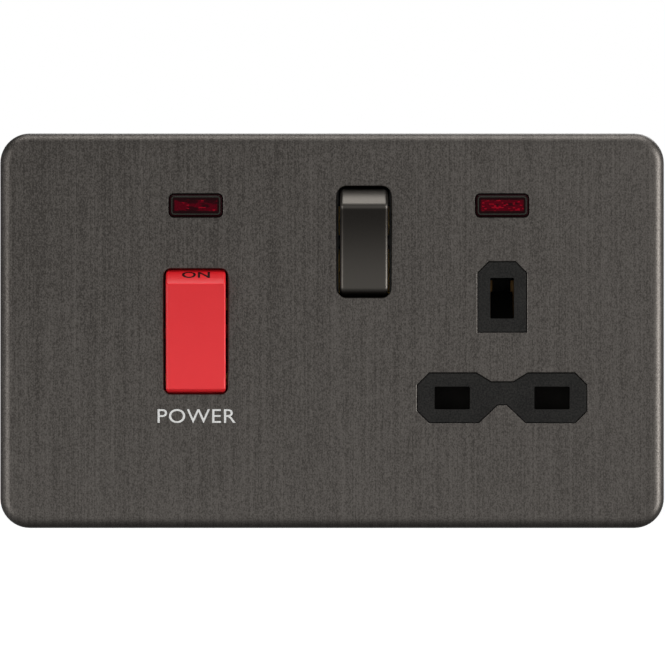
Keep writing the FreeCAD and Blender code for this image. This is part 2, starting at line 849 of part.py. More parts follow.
def saddle_post(x, z, width):
    """Post on a supply bar with a shallow notch that the arm rocks in."""
    apex = saddle_depth + saddle_clearance
    half = saddle_half_width
    rise = half * math.tan(math.radians(saddle_angle))
    points = [(bar_front, z - half), (apex - rise, z - half), (apex, z), (apex - rise, z + half),
              (bar_front, z + half)]
    return sideways(points, x, width)


def fixed_rivet(x, z):
    """Silver rivet on a strip, facing the arm's rivet."""
    return rod(rivet_radius, (x, strip_front - rivet_height, z), (x, strip_front, z))


# Neons
def neon_lens(x):
    """Clear red cap with a flange behind the plate, open at the back for its lamp."""
    width = neon_width - 2 * lens_clearance
    height = neon_height - 2 * lens_clearance
    radius = neon_window_radius - lens_clearance
    back = frame_back - lens_clearance
    cap = rounded_block(width, height, radius, lens_front, back, x, neon_z)
    rim = edges_within(cap, (x - width, x + width), (lens_front - 0.01, lens_front + 0.01),
                       (neon_z - height, neon_z + height))
    cap = cap.makeChamfer(lens_bevel, rim)
    flange_back = frame_front + lens_flange_thickness
    flange = rounded_block(neon_width + 2 * lens_flange - 2 * lens_clearance,
                           neon_height + 2 * lens_flange - 2 * lens_clearance,
                           radius, frame_front, flange_back, x, neon_z)
    room = rounded_block(width - 2 * lens_wall, height - 2 * lens_wall, radius - lens_wall / 2,
                         lens_front + lens_wall, back, x, neon_z)
    return cap.fuse(flange).cut(room).removeSplitter()


def lamp_depth():
    """Depth of a neon lamp's axis, inside its lens."""
    return lens_front + lens_wall + lamp_radius + lamp_gap


def neon_lamp(x):
    """Glass neon lamp that lies across its lens."""
    half = lamp_length / 2 - lamp_radius
    depth = lamp_depth()
    parts = [rod(lamp_radius, (x - half, depth, neon_z), (x + half, depth, neon_z))]
    parts += [Part.makeSphere(lamp_radius, Vector(x + side * half, depth, neon_z)) for side in (-1, 1)]
    return fused(parts)


def lead_paths(x, left_end, right_end):
    """Routes of a lamp's two wires, out of the lens and back to two strips, given as (x, z)."""
    depth = lamp_depth()
    turn = lamp_length / 2 + lead_turn_gap
    deep = strip_front - lead_drop
    paths = []
    for side, (end_x, end_z) in ((-1, left_end), (1, right_end)):
        out_x = x + side * turn
        paths.append([(x + side * lamp_length / 2, depth, neon_z), (out_x, depth, neon_z),
                      (out_x, deep, neon_z), (end_x, deep, neon_z), (end_x, deep, end_z),
                      (end_x, strip_front, end_z)])
    return paths


def resistor(path):
    """Dropper resistor on the upright run of a lamp's wire, with the wire through it."""
    start, end = Vector(*path[3]), Vector(*path[4])
    middle = (start + end) / 2
    along = (end - start).normalize() * resistor_length / 2
    body = rod(resistor_radius, middle - along, middle + along)
    return body.cut(rod(lead_radius, start, end))


# Strips, bars and terminals
def load_strip(side):
    """Strip from a cooker pole's fixed rivet up and out to its load terminal."""
    pole = cooker_x + side * cooker_pole_pitch / 2
    terminal = cooker_x + side * terminal_offset
    turn_z = load_z + load_turn_rise
    body = strip([(pole, cooker_rivet_z), (pole, turn_z), (terminal, turn_z)], strip_front)
    return fused([body, fixed_rivet(pole, cooker_rivet_z)])


def outlet_column(side):
    """Where an outlet strip runs down, just outside its pole's arm."""
    pole = outlet_x + side * outlet_pole_pitch / 2
    return pole + side * (outlet_arm_width / 2 + strip_width / 2 + strip_gap)


def outlet_strip_neutral():
    """Strip from the outlet switch's neutral rivet down to the neutral pin contact."""
    pole = outlet_x + outlet_pole_pitch / 2
    column = outlet_column(1)
    row = cooker_z - earth_bore_pitch / 2
    points = [(pole, outlet_rivet_z), (column, outlet_rivet_z), (column, row), (neutral_x, row),
              (neutral_x, line_z)]
    return fused([strip(points, strip_front), fixed_rivet(pole, outlet_rivet_z)])


def outlet_strip_live():
    """Strip from the outlet switch's live rivet, round the outside, to the live pin contact."""
    pole = outlet_x - outlet_pole_pitch / 2
    column = outlet_column(-1)
    row = line_z - live_row_drop
    end = line_z + line_pin_height + blade_thickness
    points = [(pole, outlet_rivet_z), (column, outlet_rivet_z), (column, row), (live_x, row),
              (live_x, end)]
    return fused([strip(points, strip_front), fixed_rivet(pole, outlet_rivet_z)])


def supply_bar(side):
    """Bar that joins a supply terminal to the cooker pole and the outlet pole behind it."""
    cooker_pole = cooker_x + side * cooker_pole_pitch / 2
    outlet_pole = outlet_x + side * outlet_pole_pitch / 2
    shelf = supply_z + strip_width / 2
    crossing = cooker_z + bar_crossing_rise
    if side < 0:
        points = [(live_terminal_x, shelf), (cooker_pole, shelf), (cooker_pole, crossing),
                  (outlet_pole, crossing), (outlet_pole, outlet_z)]
        body = strip(points, bar_front)
    else:
        spine = strip([(cooker_pole, cooker_z), (cooker_pole, shelf)], bar_front)
        body = spine.fuse(strip([(cooker_pole, shelf), (outlet_pole, shelf), (outlet_pole, outlet_z)],
                                bar_front))
    posts = [saddle_post(cooker_pole, cooker_z, cooker_arm_width),
             saddle_post(outlet_pole, outlet_z, outlet_arm_width)]
    return fused([body] + posts)


def terminal_block(x, z_inner, side, bores, width, bore_radius):
    """Brass block with cable bores along Z and two tapped screw holes for each from behind."""
    z0, z1 = sorted((z_inner, z_inner + side * terminal_height))
    body = block(x - width / 2, x + width / 2, terminal_front, terminal_back, z0, z1)
    cuts = []
    for bore_x in bores:
        cuts.append(rod(bore_radius, (bore_x, bore_depth, z0), (bore_x, bore_depth, z1)))
        for screw in screw_heights(z_inner, side):
            cuts.append(rod(terminal_screw_radius, (bore_x, bore_depth, screw),
                            (bore_x, terminal_back, screw)))
    return body.cut(cuts).removeSplitter()


def screw_heights(z_inner, side):
    """Heights of the two clamp screws along one cable bore."""
    middle = z_inner + side * terminal_height / 2
    return (middle - terminal_screw_pitch / 2, middle + terminal_screw_pitch / 2)


def cable_bores():
    """Every cable bore: its x, its terminal's inner end, the way it opens and its radius."""
    places = [(x, z, side, terminal_bore_radius)
              for z, side in ((supply_z, -1), (load_z, 1))
              for x in (live_terminal_x, neutral_terminal_x)]
    places += [(earth_terminal_x + side * earth_bore_pitch / 2, earth_terminal_base, 1, earth_bore_radius)
               for side in (-1, 1)]
    return places


def terminal_screws():
    """Clamp screws of all the terminals, backed off to leave the bores open."""
    screws = []
    for x, z_inner, side, radius in cable_bores():
        start = bore_depth + radius + terminal_screw_lift
        for z in screw_heights(z_inner, side):
            screws.append(rod(terminal_screw_radius, (x, start, z), (x, start + terminal_screw_length, z)))
    return Part.makeCompound(screws)


def earth_strap():
    """Bar from the earth contact to the earth terminal."""
    row = earth_contact_floor() - strip_width / 2
    column = earth_terminal_x
    body = strip([(socket_x, row), (column, row), (column, earth_terminal_base - strip_width / 2)],
                 bar_front)
    return body


def earth_contact_floor():
    """Underside of the earth contact's floor plate, just below the pin."""
    return earth_z - earth_pin_height / 2 - blade_slack - 2 * blade_thickness


def earth_pin_contact():
    """Brass channel, open at the top, that grips the earth pin from both sides."""
    low = earth_contact_floor()
    high = earth_z + earth_pin_height / 2
    inner = earth_pin_width / 2 + blade_slack
    outer = inner + blade_thickness
    front = frame_back + ramp_rise + earth_contact_gap
    back = bar_front + strip_thickness
    left = block(socket_x - outer, socket_x - inner, front, back, low, high)
    right = block(socket_x + inner, socket_x + outer, front, back, low, high)
    floor = block(socket_x - outer, socket_x + outer, front + earth_floor_setback, back,
                  low, low + blade_thickness)
    return fused([left, right, floor])


def line_pin_contact(x):
    """Folded brass clip whose two blades grip a line pin from above and below."""
    inner = line_pin_height / 2 + blade_slack
    front = frame_back + shutter_clearance + shutter_thickness + line_contact_gap
    throat = front + blade_lead_in
    mouth = inner + blade_flare
    seat = strip_front - blade_thickness
    line = [(front, mouth), (throat, inner), (seat, inner), (seat, -inner), (throat, -inner),
            (front, -mouth)]
    corners = [(y, line_z + rise) for y, rise in ribbon(line, blade_thickness)]
    return sideways(corners, x, line_blade_width)


# Rear housing
def bays():
    """Housing bay of each terminal: its left, right, inner end and the way it opens."""
    half = terminal_width / 2
    found = [(x - half, x + half, z, side)
             for z, side in ((supply_z, -1), (load_z, 1))
             for x in (live_terminal_x, neutral_terminal_x)]
    half = terminal_width / 2 + earth_bore_pitch / 2
    return found + [(earth_terminal_x - half, earth_terminal_x + half, earth_terminal_base, 1)]


def rear_housing():
    """Black moulded box behind the frame, with a bay and a cable mouth for each terminal."""
    middle = (housing_left + housing_right) / 2
    width = housing_right - housing_left
    height = 2 * housing_half_height
    body = rounded_block(width, height, housing_corner, frame_back, floor_back, middle, 0)
    body = eased_back(body, floor_back)
    inside = rounded_block(width - 2 * housing_wall, height - 2 * housing_wall,
                           housing_corner - housing_wall, frame_back, floor_front, middle, 0)
    added = [body.cut(inside)]
    rooms = []
    for left, right, z_inner, side in bays():
        outer_z = side * housing_half_height
        inner_z = z_inner - side * bay_side
        z0, z1 = sorted((inner_z, outer_z))
        bay = block(left - bay_side, right + bay_side, floor_front, bay_back, z0, z1)
        added.append(eased_back(bay, bay_back))
        z0, z1 = sorted((z_inner - side * bay_clearance, outer_z - side * housing_wall))
        rooms.append(block(left - bay_clearance, right + bay_clearance,
                           frame_back, bay_back - bay_wall, z0, z1))
    pillar_front = frame_back + case_pillar_height
    for x, z in case_screw_places:
        added.append(rod(case_pillar_radius, (x, pillar_front, z), (x, floor_back, z)))
    shell = fused(added)
    cuts = rooms
    for x, z, rocker_width, swing in wells():
        side = rocker_width / 2 + well_side_gap + well_wall + frame_clearance
        end = swing + well_end_gap + well_wall + frame_clearance
        cuts.append(block(x - side, x + side, frame_back, well_back, z - end, z + end))
    for x, z_inner, side, radius in cable_bores():
        outer_z = side * housing_half_height
        mouth = mouth_radius - terminal_bore_radius + radius
        inner_z = outer_z - side * 2 * housing_wall
        cuts.append(rod(mouth, (x, bore_depth, inner_z), (x, bore_depth, outer_z)))
        for z in screw_heights(z_inner, side):
            cuts.append(rod(driver_hole_radius, (x, bay_back - bay_wall, z), (x, bay_back, z)))
    for x, z in case_screw_places:
        seat = pillar_front + case_screw_grip
        cuts.append(rod(case_screw_head_radius + bay_clearance, (x, seat, z), (x, floor_back, z)))
        cuts.append(rod(case_screw_radius + bay_clearance, (x, pillar_front, z), (x, seat, z)))
        cuts.append(rod(case_pillar_radius + case_pillar_clearance,
                        (x, frame_back, z), (x, pillar_front, z)))
    return shell.cut(cuts).removeSplitter()


def eased_back(body, depth):
    """The body with a chamfer round its back face, which lies at a depth."""
    limits = body.BoundBox
    rim = edges_within(body, (limits.XMin - 0.01, limits.XMax + 0.01), (depth - 0.01, depth + 0.01),
                       (limits.ZMin - 0.01, limits.ZMax + 0.01))
    return body.makeChamfer(housing_edge, rim)


# Screws
def box_screws():
    """Two wall-box screws: a low round head, a neck through the frame and a threaded shank."""
    screws = []
    seat = frame_front + box_screw_recess + box_screw_head_height
    for x in box_screw_xs():
        front = seat - box_screw_head_height
        rim = box_screw_head_radius - box_screw_ease
        dome = Part.makeCone(rim, box_screw_head_radius, box_screw_ease, Vector(x, front, 0),
                             Vector(0, 1, 0))
        edge = rod(box_screw_head_radius, (x, front + box_screw_ease, 0), (x, seat, 0))
        head = dome.fuse(edge)
        neck = rod(box_screw_neck_radius, (x, seat, 0), (x, box_screw_relief, 0))
        shank = rod(box_screw_radius, (x, box_screw_relief, 0), (x, box_screw_length, 0))
        screws.append(fused([head, neck, shank]))
    return Part.makeCompound(screws)


def housing_screws():
    """Five pan-head screws that hold the housing to the frame's pillars."""
    screws = []
    seat = frame_back + case_pillar_height + case_screw_grip
    for x, z in case_screw_places:
        head = rod(case_screw_head_radius, (x, seat, z), (x, seat + case_screw_head_height, z))
        shank = rod(case_screw_radius, (x, seat - case_screw_length, z), (x, seat, z))
        screws.append(fused([head, shank]))
    return Part.makeCompound(screws)


# Every piece, by name
def pieces():
    """All the pieces of the unit in the order of assembly."""
    made = {
        "mounting_frame": mounting_frame(),
        "socket_insert": socket_insert(),
        "rear_housing": rear_housing(),
        "housing_screws": housing_screws(),
        "box_screws": box_screws(),
        "plate_liner": plate_liner(),
        "front_plate": front_plate(),
        "shutter": shutter(),
        "shutter_spring": shutter_spring(),
        "earth_pin_contact": earth_pin_contact(),
        "earth_strap": earth_strap(),
        "earth_terminal": terminal_block(
            earth_terminal_x, earth_terminal_base, 1,
            [earth_terminal_x + side * earth_bore_pitch / 2 for side in (-1, 1)],
            terminal_width + earth_bore_pitch, earth_bore_radius),
        "live_pin_contact": line_pin_contact(live_x),
        "neutral_pin_contact": line_pin_contact(neutral_x),
        "outlet_strip_live": outlet_strip_live(),
        "outlet_strip_neutral": outlet_strip_neutral(),
        "terminal_screws": terminal_screws(),
        "cooker_rocker": rocker(cooker_x, cooker_z, cooker_rocker_width, cooker_swing,
                                cooker_crest_span, cooker_dish, cooker_crest_radius,
                                cooker_side_radius, cooker_pole_pitch, cooker_throw),
        "outlet_rocker": rocker(outlet_x, outlet_z, outlet_rocker_width, outlet_swing,
                                outlet_crest_span, outlet_dish, outlet_crest_radius,
                                outlet_side_radius, outlet_pole_pitch, outlet_throw),
    }
    for pole, side in (("live", -1), ("neutral", 1)):
        cooker_pole = cooker_x + side * cooker_pole_pitch / 2
        outlet_pole = outlet_x + side * outlet_pole_pitch / 2
        terminal = cooker_x + side * terminal_offset
        made["supply_bar_" + pole] = supply_bar(side)
        made["load_strip_" + pole] = load_strip(side)
        made["supply_terminal_" + pole] = terminal_block(
            terminal, supply_z, -1, [terminal], terminal_width, terminal_bore_radius)
        made["load_terminal_" + pole] = terminal_block(
            terminal, load_z, 1, [terminal], terminal_width, terminal_bore_radius)
        made["cooker_arm_" + pole] = contact_arm(
            cooker_pole, cooker_z, cooker_arm_width, cooker_arm_reach, cooker_throw)
        made["outlet_arm_" + pole] = contact_arm(
            outlet_pole, outlet_z, outlet_arm_width, outlet_arm_reach, outlet_throw)
        made["cooker_plunger_" + pole] = plunger(cooker_pole, cooker_z, cooker_throw)
        made["outlet_plunger_" + pole] = plunger(outlet_pole, outlet_z, outlet_throw)
        made["cooker_plunger_spring_" + pole] = plunger_spring(
            cooker_pole, cooker_z, cooker_swing, cooker_crest_span, cooker_dish, cooker_throw)
        made["outlet_plunger_spring_" + pole] = plunger_spring(
            outlet_pole, outlet_z, outlet_swing, outlet_crest_span, outlet_dish, outlet_throw)
    load_end = load_z + load_turn_rise
    neon_ends = {
        "cooker": (cooker_x, (live_terminal_x, load_end), (neutral_terminal_x, load_end)),
        "outlet": (socket_x, (outlet_column(1), outlet_rivet_z + lead_overhang),
                   (live_x - strip_width / 3, line_z + line_pin_height + blade_thickness)),
    }
    for name, (x, left_end, right_end) in neon_ends.items():
        made[name + "_neon_lens"] = neon_lens(x)
        made[name + "_neon_lamp"] = neon_lamp(x)
        paths = lead_paths(x, left_end, right_end)
        made[name + "_neon_leads"] = Part.makeCompound([wire_run(path) for path in paths])
        made[name + "_neon_resistor"] = resistor(paths[1])
    return made


os.makedirs("parts", exist_ok=True)
for node, shape in pieces().items():
    shape.exportStep("parts/" + node + ".step")
    print(node, len(shape.Solids), round(shape.Volume, 1), shape.isValid())
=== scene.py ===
import json
import math

import bmesh
import bpy
import numpy as np
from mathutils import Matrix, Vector


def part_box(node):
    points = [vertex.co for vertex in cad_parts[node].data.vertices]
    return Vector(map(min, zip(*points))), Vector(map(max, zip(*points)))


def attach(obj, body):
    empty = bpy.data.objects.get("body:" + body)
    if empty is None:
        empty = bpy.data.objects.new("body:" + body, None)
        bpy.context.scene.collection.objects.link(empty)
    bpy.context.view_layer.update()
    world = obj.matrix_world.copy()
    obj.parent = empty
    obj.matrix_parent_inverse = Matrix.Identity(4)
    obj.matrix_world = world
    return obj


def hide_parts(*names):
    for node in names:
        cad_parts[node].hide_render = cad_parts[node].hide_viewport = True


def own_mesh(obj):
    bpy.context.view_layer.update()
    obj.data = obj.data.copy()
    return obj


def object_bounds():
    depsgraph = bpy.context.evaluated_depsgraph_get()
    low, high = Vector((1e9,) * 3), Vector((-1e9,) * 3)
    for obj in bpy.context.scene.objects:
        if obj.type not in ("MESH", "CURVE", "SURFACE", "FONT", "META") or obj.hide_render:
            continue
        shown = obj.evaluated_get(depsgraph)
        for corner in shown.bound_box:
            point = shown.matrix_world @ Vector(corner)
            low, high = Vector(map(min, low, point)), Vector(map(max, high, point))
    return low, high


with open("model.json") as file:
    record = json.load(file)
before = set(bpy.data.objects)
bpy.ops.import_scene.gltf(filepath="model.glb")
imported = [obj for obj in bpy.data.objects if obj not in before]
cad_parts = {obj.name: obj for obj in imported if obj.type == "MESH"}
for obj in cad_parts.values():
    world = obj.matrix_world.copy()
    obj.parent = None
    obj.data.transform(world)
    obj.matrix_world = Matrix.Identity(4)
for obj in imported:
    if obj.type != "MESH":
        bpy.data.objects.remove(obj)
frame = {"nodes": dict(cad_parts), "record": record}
nodes = frame["nodes"]
cad_low, cad_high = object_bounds()
mm = 0.001

# The unit hangs on a wall, and the camera looks straight at it from the room. A long lens at a
# long distance keeps the view as flat as a catalogue picture's. The unit fills the picture's width.
picture_span = 148.15 * mm
picture_middle_x = 0.1 * mm
picture_middle_z = -0.06 * mm
camera_distance = 2.4
sensor_width = 36.0
camera_data = bpy.data.cameras.new("camera")
camera_data.sensor_fit = "HORIZONTAL"
camera_data.sensor_width = sensor_width
camera_data.lens = sensor_width * camera_distance / picture_span
camera = bpy.data.objects.new("camera", camera_data)
bpy.context.scene.collection.objects.link(camera)
plate_low, plate_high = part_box("front_plate")
camera.location = (picture_middle_x, plate_low.y - camera_distance, picture_middle_z)
camera.rotation_euler = (math.pi / 2, 0.0, 0.0)
bpy.context.scene.camera = camera


# The mounting frame is a black thermoset moulding that everything else is fixed to. The socket
# insert is moulded of the same black and drops into it. Its two raised pads show through the
# plate, with a fine satin speckle, and the dark shutter closes its slots from behind.
class Field:
    """A value over the surface: wraps a socket, and + - * and abs add the Math nodes."""

    def __init__(self, owner, socket):
        self.owner = owner
        self.socket = socket

    def _math(self, operation, *values):
        return self.owner.node("ShaderNodeMath", {"operation": operation}, *values)

    def __add__(self, other):
        return self._math("ADD", self, other)

    def __radd__(self, other):
        return self._math("ADD", other, self)

    def __sub__(self, other):
        return self._math("SUBTRACT", self, other)

    def __rsub__(self, other):
        return self._math("SUBTRACT", other, self)

    def __mul__(self, other):
        return self._math("MULTIPLY", self, other)

    def __rmul__(self, other):
        return self._math("MULTIPLY", other, self)

    def __abs__(self):
        return self._math("ABSOLUTE", self)

    def at_least(self, other):
        return self._math("MAXIMUM", self, other)

    def above(self, edge, softness):
        """0 below the edge and 1 above it, with a soft step between."""
        return self.owner.node("ShaderNodeMapRange", {"interpolation_type": "SMOOTHSTEP"},
                               self, edge - softness, edge + softness, 0.0, 1.0)

    def output(self, name):
        """Another output of the same node."""
        return Field(self.owner, self.socket.node.outputs[name])


class Shading:
    """A node tree, with one method that adds any node to it."""

    def __init__(self, tree):
        self.tree = tree

    def node(self, kind, settings, *values, output=0):
        """Any node: its type, its settings, then the values or links of its sockets in order."""
        made = self.tree.nodes.new(kind)
        for setting, value in settings.items():
            setattr(made, setting, value)
        for socket, value in zip([s for s in made.inputs if s.enabled], values):
            self.join(socket, value)
        outputs = [s for s in made.outputs if s.enabled]
        chosen = made.outputs[output] if isinstance(output, str) else outputs[output]
        return Field(self, chosen)

    def join(self, socket, value):
        """Links a field to a socket, or sets the socket's own value."""
        if isinstance(value, Field):
            self.tree.links.new(value.socket, socket)
        elif value is not None:
            if hasattr(socket.default_value, "__len__") and len(value) == 3:
                value = tuple(value) + (1.0,) * (len(socket.default_value) - 3)
            socket.default_value = value


class Finish(Shading):
    """One procedural material, on coordinates in the object's own frame."""

    def __init__(self, name, colour, roughness, metallic=0.0, **constants):
        self.material = bpy.data.materials.new(name)
        self.material.use_nodes = True
        super().__init__(self.material.node_tree)
        self.shader = self.tree.nodes["Principled BSDF"]
        self.place = self.node("ShaderNodeTexCoord", {}, output="Object")
        self.put("Base Color", colour)
        self.put("Roughness", roughness)
        self.put("Metallic", metallic)
        for socket, value in constants.items():
            self.put(socket.replace("_", " "), value)

    def put(self, name, value):
        """Sets or links one socket of the shader by its name."""
        self.join(self.shader.inputs[name], value)

    def stretched(self, scale_x, scale_y, scale_z):
        """The place, scaled along each axis, in cells per metre."""
        return self.node("ShaderNodeMapping", {}, self.place, None, None,
                         (scale_x, scale_y, scale_z))

    def noise(self, where, scale=1.0, detail=2.0, roughness=0.5):
        """Smooth noise from 0 to 1."""
        return self.node("ShaderNodeTexNoise", {}, where, scale, detail, roughness)

    def mixed(self, share, first, second):
        """A colour between two, by a share from 0 to 1."""
        return self.node("ShaderNodeMix", {"data_type": "RGBA"}, share, first, second)

    def bumped(self, height, distance, strength=1.0):
        """Bends the surface by a height field; the distance is in metres."""
        self.put("Normal", self.node("ShaderNodeBump", {}, strength, distance, None, height))

    def cover(self, *names):
        """Gives this finish to CAD nodes by name."""
        for name in names:
            mesh = nodes[name].data
            mesh.materials.clear()
            mesh.materials.append(self.material)


def linear(red, green, blue):
    """The linear colour of an 8-bit screen colour."""
    def one(value):
        value /= 255.0
        return value / 12.92 if value <= 0.04045 else ((value + 0.055) / 1.055) ** 2.4
    return (one(red), one(green), one(blue))


moulding = Finish("black_moulding", linear(26, 25, 23), 0.5, Specular_IOR_Level=0.16)
speckle = moulding.noise(moulding.place, 2600.0, 2.0, 0.6)
clouds = moulding.noise(moulding.place, 260.0, 3.0)
moulding.put("Base Color", moulding.mixed(
    (speckle * 0.8 + clouds * 0.2).above(0.5, 0.16), linear(7, 7, 6), linear(34, 33, 31)))
moulding.put("Roughness", speckle * 0.16 + 0.44)
moulding.bumped(speckle, 0.02 * mm, 0.5)
moulding.cover("mounting_frame", "socket_insert")

# The outlet rocker's well is taller than the housing behind it. A thin web of the frame's moulding
# closes the end that stands clear above the housing, so no light comes through beside the rocker.
web_half_width = 7.5 * mm
web_front = 5.2 * mm
web_thickness = 1.0 * mm
web_low = 29.9 * mm
web_high = 34.6 * mm
web_rounding = 0.25 * mm
outlet_middle = 7.13 * mm
web_corners = [(outlet_middle + side * web_half_width, y, z) for side in (-1, 1)
               for y in (web_front, web_front + web_thickness) for z in (web_low, web_high)]
web_sides = [(0, 1, 3, 2), (4, 6, 7, 5), (0, 4, 5, 1), (2, 3, 7, 6), (0, 2, 6, 4), (1, 5, 7, 3)]
web_mesh = bpy.data.meshes.new("well_web")
web_mesh.from_pydata(web_corners, [], web_sides)
web_mesh.materials.append(moulding.material)
well_web = bpy.data.objects.new("well_web", web_mesh)
bpy.context.scene.collection.objects.link(well_web)
rounded = well_web.modifiers.new("rounded_edges", "BEVEL")
rounded.width = web_rounding
rounded.segments = 3
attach(well_web, "root")

# The shutter is a thin slide of dull black moulding. It rides in the insert's guides behind the
# slots, and the slots that it closes look like empty shade.
shutter_black = Finish("shutter_black", linear(15, 14, 12), 0.7, Specular_IOR_Level=0.05)
shutter_grain = shutter_black.noise(shutter_black.place, 1800.0, 2.0)
shutter_black.put("Roughness", shutter_grain * 0.2 + 0.6)
shutter_black.cover("shutter")


# Strips, bars and terminals are stamped or drilled brass, in layers behind the frame. Tumbling has
# dulled their faces, and the press left fine marks. The pin contacts are folded dull bronze.
def named(*words):
    """The names of the CAD nodes that hold one of these words."""
    return [name for name in nodes if any(word in name for word in words)]


brass = Finish("brass", linear(201, 168, 98), 0.32, metallic=1.0)
tumble = brass.noise(brass.place, 900.0, 3.0, 0.6)
press_marks = brass.noise(brass.stretched(300.0, 300.0, 5200.0), 1.0, 2.0)
brass.put("Base Color", brass.mixed(tumble, linear(184, 148, 82), linear(216, 184, 114)))
brass.put("Roughness", tumble * 0.2 + press_marks * 0.12 + 0.18)
brass.bumped(press_marks, 0.004 * mm, 0.3)
brass.cover(*named("terminal_live", "terminal_neutral", "earth_terminal", "supply_bar", "strip",
                   "earth_strap"))
bronze = Finish("dull_bronze", linear(92, 70, 42), 0.5, metallic=1.0)
oxide = bronze.noise(bronze.place, 700.0, 3.0, 0.6)
bronze.put("Base Color", bronze.mixed(oxide, linear(66, 48, 30), linear(112, 88, 54)))
bronze.cover(*named("pin_contact"))


# Twelve clamp screws, two to each cable bore, are slotted zinc plated steel. They are run in from
# behind through the holes in the housing, and are backed off so that the bores stand open.
zinc = Finish("zinc", linear(196, 197, 198), 0.32, metallic=1.0)
crystals = zinc.node("ShaderNodeTexVoronoi", {}, zinc.place, 2600.0, output="Distance")
tarnish = zinc.noise(zinc.place, 800.0, 3.0, 0.6)
zinc.put("Base Color", zinc.mixed(tarnish, linear(176, 176, 172), linear(210, 212, 214)))
zinc.put("Roughness", crystals * 0.25 + tarnish * 0.1 + 0.2)

# A screw's head is given as radius, height and rounding, its neck as radius and end, and its
# thread as outer radius, core radius, pitch and end. The ends are depths below the screw's face.
clamp_core = 1.62 * mm
clamp_length = 3.2 * mm
clamp_head = (1.87 * mm, 0.35 * mm, 0.15 * mm)
clamp_neck = (clamp_core, 0.5 * mm)
clamp_thread = (1.99 * mm, clamp_core, 0.7 * mm, clamp_length)
clamp_spacing = 5.6 * mm
clamp_lift = 0.2 * mm
clamp_rings = 16
slot_width = 0.8 * mm
slot_depth = 0.9 * mm
recess_edge = 0.06 * mm
screw_segments = 40
rows_per_turn = 8
rim_rows = 4
sharp_angle = math.radians(32)


def soft_inside(distance, half):
    """1 where a distance is under half a width and 0 outside it, with a narrow slope between."""
    return np.clip((half + recess_edge - np.abs(distance)) / (2 * recess_edge), 0.0, 1.0)


def straight_slot(x, z):
    """Depth of a driver slot that runs right across a screw's face along X."""
    return slot_depth * soft_inside(z, slot_width / 2) + 0 * x


def screw_grid(head, rings, recess, neck, thread):
    """Radius and depth grids of a turned screw that points along +Y, with its face at depth 0.

    Rows run from the middle of the face, over the head's rounded rim, down the neck and the
    thread, to the tip. In the thread, a spiral value is the depth over the pitch less the angle's
    share of a turn, without its whole turns. Folded into a triangle and cut off at 0 and 1, it
    gives ridges that climb like a real screw's. Both ends shrink to a point.
    """
    head_radius, head_height, ease = head
    neck_radius, neck_end = neck
    crest, core, pitch, end = thread
    steepness, root_width, tip_share, tip_length = 1.4, 0.1, 0.7, 0.1
    angle = np.linspace(0.0, 2 * math.pi, screw_segments, endpoint=False)
    face_radius = np.linspace(0.0, head_radius - ease, rings)
    bend = np.linspace(0.0, math.pi / 2, rim_rows + 1)[1:]
    rim_radius = head_radius - ease + ease * np.sin(bend)
    rim_depth = ease - ease * np.cos(bend)
    thread_rows = int((end - neck_end) / pitch * rows_per_turn)
    thread_depth = np.linspace(neck_end, end - pitch, thread_rows)
    spiral = np.mod(thread_depth[:, None] / pitch - angle[None, :] / (2 * math.pi), 1.0)
    ridge = np.clip(steepness * (1.0 - np.abs(2 * spiral - 1.0)) - root_width, 0.0, 1.0)
    run_in = np.clip((thread_depth - neck_end) / pitch, 0.0, 1.0)[:, None]
    threaded = core + (crest - core) * ridge * run_in
    outline_radius = np.concatenate([face_radius, rim_radius,
                                     [head_radius, neck_radius, neck_radius]])
    outline_depth = np.concatenate([0 * face_radius, rim_depth,
                                    [head_height, head_height, neck_end]])
    one_row = np.ones((1, screw_segments))
    radius = np.vstack([outline_radius[:, None] * one_row, threaded,
                        core * tip_share * one_row, 0 * one_row])
    depth = np.concatenate([outline_depth, thread_depth, [end - tip_length * pitch, end]])
    depth = depth[:, None] * one_row
    x = radius[:rings] * np.cos(angle)
    z = radius[:rings] * np.sin(angle)
    depth[:rings] += recess(x, z)
    return radius, depth


def closed_lathe(radius, depth):
    """Points and faces of a closed surface about the Y axis from grids of rows by angle.

    The point of a row at angle a is (radius cos a, depth, radius sin a). The first and the last
    row are one point each, joined to their neighbours by triangles.
    """
    rows, segments = radius.shape
    angle = np.linspace(0.0, 2 * math.pi, segments, endpoint=False)
    grid = np.stack([radius * np.cos(angle), depth, radius * np.sin(angle)], axis=-1)
    points = np.vstack([grid[0, :1], grid[1:-1].reshape(-1, 3), grid[-1, :1]])
    here = np.arange(segments)
    after = (here + 1) % segments
    start = 1 + segments * np.arange(rows - 2)[:, None]
    quads = np.stack([start[:-1] + here, start[1:] + here, start[1:] + after, start[:-1] + after],
                     axis=-1).reshape(-1, 4)
    last = len(points) - 1
    tail = last - segments
    near = np.stack([0 * here, 1 + here, 1 + after], axis=-1)
    far = np.stack([0 * here + last, tail + after, tail + here], axis=-1)
    return points, near.tolist() + quads.tolist() + far.tolist()


def piece_of(name, finish, shapes, body="root"):
    """One piece from several shapes, each with its points and faces, riding on a body."""
    points, faces, count = [], [], 0
    for shape_points, shape_faces in shapes:
        points.append(shape_points)
        faces += [tuple(index + count for index in face) for face in shape_faces]
        count += len(shape_points)
    mesh = bpy.data.meshes.new(name)
    mesh.from_pydata(np.vstack(points).tolist(), [], faces)
    mesh.polygons.foreach_set("use_smooth", np.ones(len(mesh.polygons), dtype=bool))
    mesh.set_sharp_from_angle(angle=sharp_angle)
    mesh.materials.append(finish.material)
    piece = bpy.data.objects.new(name, mesh)
    bpy.context.scene.collection.objects.link(piece)
    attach(piece, body)
    return piece


def facing_back(points, place):
    """A screw turned to point out of the wall: half a turn about X, then moved to its place."""
    return points * np.array([1.0, -1.0, -1.0]) + np.array(place)


